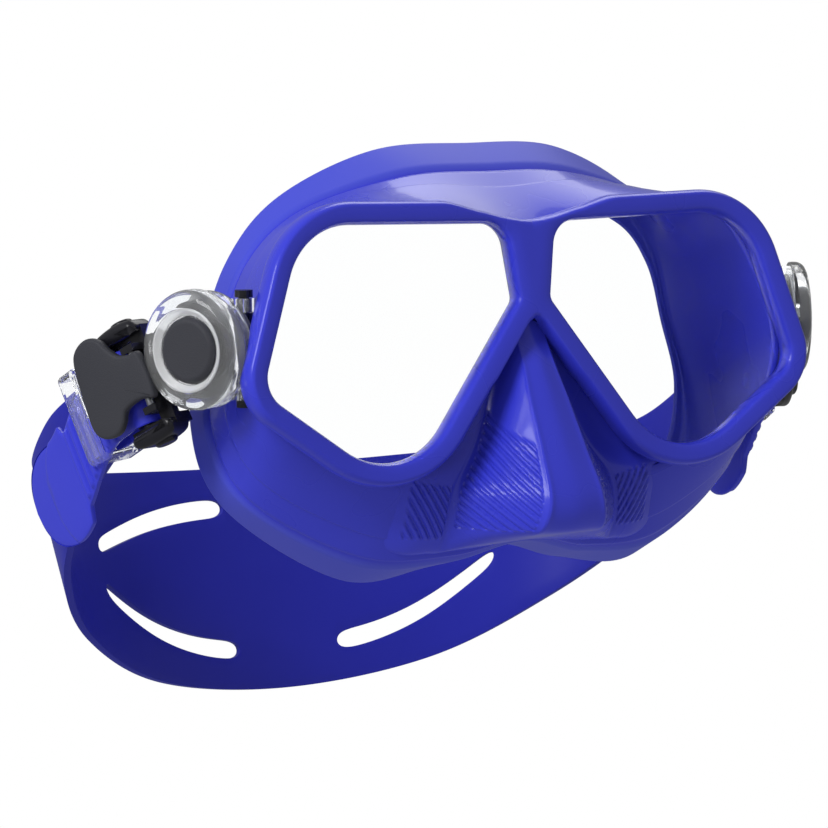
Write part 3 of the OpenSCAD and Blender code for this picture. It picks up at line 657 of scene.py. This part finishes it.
# The head strap's deeper blue is painted shade for its shaded inner face.
strap = add_piece("head_strap", whole.reshape(-1, 3), grid_faces(*whole.shape[:2], keep=~hole),
                  strap_silicone, "strap", ["strap"])
thick = strap.modifiers.new("thickness", "SOLIDIFY")
THICKNESS = 1.8
thick.thickness, thick.offset = THICKNESS * MM, 0.0
round_edge = strap.modifiers.new("rounding", "BEVEL")
round_edge.width, round_edge.segments, round_edge.limit_method = 0.5 * MM, 3, "ANGLE"
round_edge.angle_limit = radians(50)
print("strap columns:", len(f))

# %% [markdown]
# A plain white studio: a pale floor, soft lights and the camera. Two of the lights show in glossy
# surfaces; the others only light them, so that the silicone keeps its colour.

# %% Studio
scene = bpy.context.scene
scene.view_settings.view_transform = "Standard"
scene.view_settings.look = "None"


def by_ray(tree, plain, diffuse, glossy):
    """A strength that is plain for what the camera sees, also through glass, and dimmer for light
    that reaches the object, so that a white studio doesn't wash out its colour."""
    ray = node(tree, "ShaderNodeLightPath").outputs
    level = plain
    for kind, value in (("Is Diffuse Ray", diffuse), ("Is Glossy Ray", glossy),
                        ("Is Transmission Ray", plain)):
        level = node(tree, "ShaderNodeMapRange", {"Value": ray[kind], "To Min": level,
                                                  "To Max": value}).outputs["Result"]
    return level


world = bpy.data.worlds.new("studio")
scene.world = world
world.use_nodes = True
tree = world.node_tree
tree.nodes.clear()
sky = node(tree, "ShaderNodeBackground", {"Color": (1, 1, 1, 1),
                                          "Strength": by_ray(tree, 1.0, 0.36, 0.3)})
node(tree, "ShaderNodeOutputWorld", {"Surface": sky.outputs[0]})

floor_mesh = bpy.data.meshes.new("floor")
floor_mesh.from_pydata([(-4, -4, -0.16), (4, -4, -0.16), (4, 4, -0.16), (-4, 4, -0.16)], [], [(0, 1, 2, 3)])
floor = bpy.data.objects.new("floor", floor_mesh)
table_top = bpy.data.materials.new("white_table")
table_top.use_nodes = True
tree = table_top.node_tree
tree.nodes.clear()
glow = node(tree, "ShaderNodeEmission", {"Strength": by_ray(tree, 1.0, 0.6, 0.2)})
node(tree, "ShaderNodeOutputMaterial", {"Surface": glow.outputs[0]})
floor_mesh.materials.append(table_top)
scene.collection.objects.link(floor)


def soft_light(name, place, size, power, mirrored=False):
    """A square area light aimed at the mask; only a mirrored one shows in glossy surfaces."""
    lamp = bpy.data.lights.new(name, "AREA")
    lamp.size, lamp.energy = size, power
    holder = bpy.data.objects.new(name, lamp)
    scene.collection.objects.link(holder)
    holder.location, holder.visible_glossy = place, mirrored
    holder.rotation_euler = (Vector((0, 0, -0.02)) - Vector(place)).to_track_quat("-Z", "Y").to_euler()
    return holder


soft_light("key", (-0.95, -0.35, 0.8), 0.4, 14)
soft_light("low", (-0.9, -0.6, -0.12), 0.25, 1.5)
soft_light("back", (0.5, 0.45, 0.9), 0.7, 4, True)
soft_light("strip", (-1.1, -0.1, 0.5), 0.35, 3, True)

aim = Vector((-24.738, -25.721, -11.469)) * MM
away = Vector((-0.46715842, -0.87859721, 0.09914608))
right = Vector((0.88233499, -0.47047457, -0.01177475))
camera = bpy.data.cameras.new("camera")
camera.lens, camera.sensor_width = 161.57, 36.0
camera.clip_start, camera.clip_end = 0.05, 20
eye = bpy.data.objects.new("camera", camera)
scene.collection.objects.link(eye)
axes = Matrix((right, away.cross(right), away)).transposed()
eye.matrix_world = Matrix.Translation(aim + away * 0.84455) @ axes.to_4x4()
scene.camera = eye
